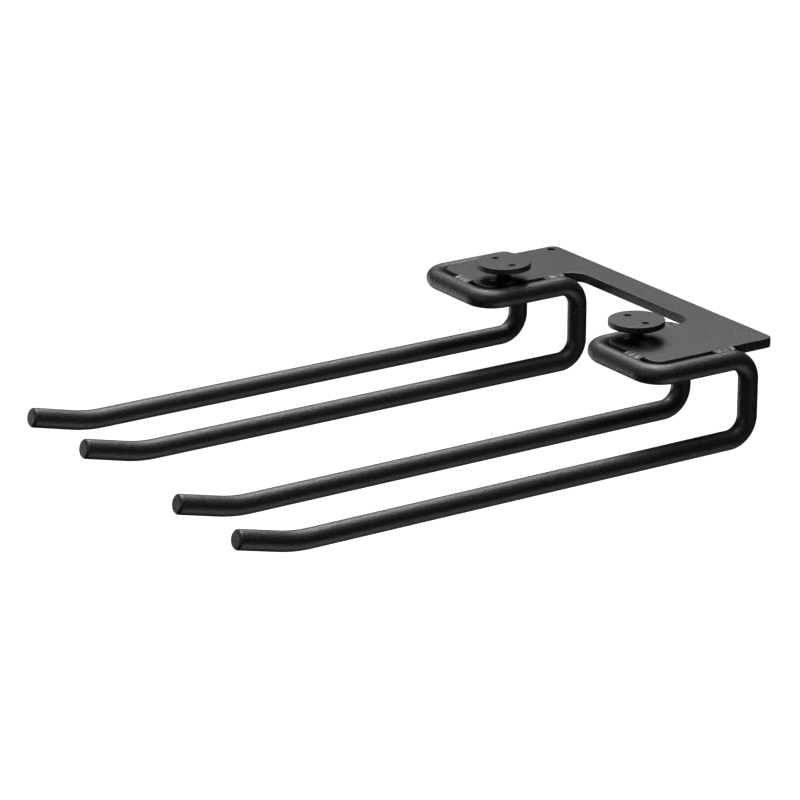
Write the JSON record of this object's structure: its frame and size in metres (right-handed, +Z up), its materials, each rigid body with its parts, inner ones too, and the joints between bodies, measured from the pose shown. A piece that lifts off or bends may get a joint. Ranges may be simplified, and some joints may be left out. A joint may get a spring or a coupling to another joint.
{
  "type": "under-shelf hanging rack",
  "caption": "Flat plate with forward arms, bent round-bar hooks with long upturned prongs welded below it, and screw clamp discs on studs above it.",
  "frame": {"origin": "middle of the plate's cross bar, on the top face that bears on the shelf", "axes": "+Z up into the shelf, -Y along the prongs to their upturned tips, +X to the right of someone facing the tips"},
  "size_m": [0.166, 0.251, 0.049],
  "materials": {
    "black_powder_coat": "fine-textured matt black powder coat on steel",
    "black_oxide_thread": "black oxide on a steel thread, lightly oiled"
  },
  "bodies": {
    "bracket": {"mounting_plate": "black_powder_coat", "left_hook_rod": "black_powder_coat", "left_front_weld": "black_powder_coat", "left_outer_weld": "black_powder_coat", "left_inner_weld": "black_powder_coat", "right_hook_rod": "black_powder_coat", "right_front_weld": "black_powder_coat", "right_outer_weld": "black_powder_coat", "right_inner_weld": "black_powder_coat"},
    "left_stud": {"left_clamp_stud": "black_oxide_thread"},
    "left_disc": {"left_clamp_disc": "black_powder_coat"},
    "right_stud": {"right_clamp_stud": "black_oxide_thread"},
    "right_disc": {"right_clamp_disc": "black_powder_coat"}
  },
  "joints": [
    {"name": "left_stud_travel", "type": "slide", "parent": "bracket", "child": "left_stud", "axis": [0, 0, 1], "range_m": [-0.0053, 0.0021]},
    {"name": "left_disc_turn", "type": "hinge", "parent": "left_stud", "child": "left_disc", "pos_m": [-0.046, -0.0397, 0.0055], "axis": [0, 0, 1], "range_deg": [-1872, 720]},
    {"name": "right_stud_travel", "type": "slide", "parent": "bracket", "child": "right_stud", "axis": [0, 0, 1], "range_m": [-0.0053, 0.0021]},
    {"name": "right_disc_turn", "type": "hinge", "parent": "right_stud", "child": "right_disc", "pos_m": [0.046, -0.0397, 0.0055], "axis": [0, 0, 1], "range_deg": [-1872, 720]}
  ],
  "couplings": [
    {"joint": "left_stud_travel", "follows": "left_disc_turn", "m_per_rad": 0.00015915},
    {"joint": "right_stud_travel", "follows": "right_disc_turn", "m_per_rad": 0.00015915}
  ]
}
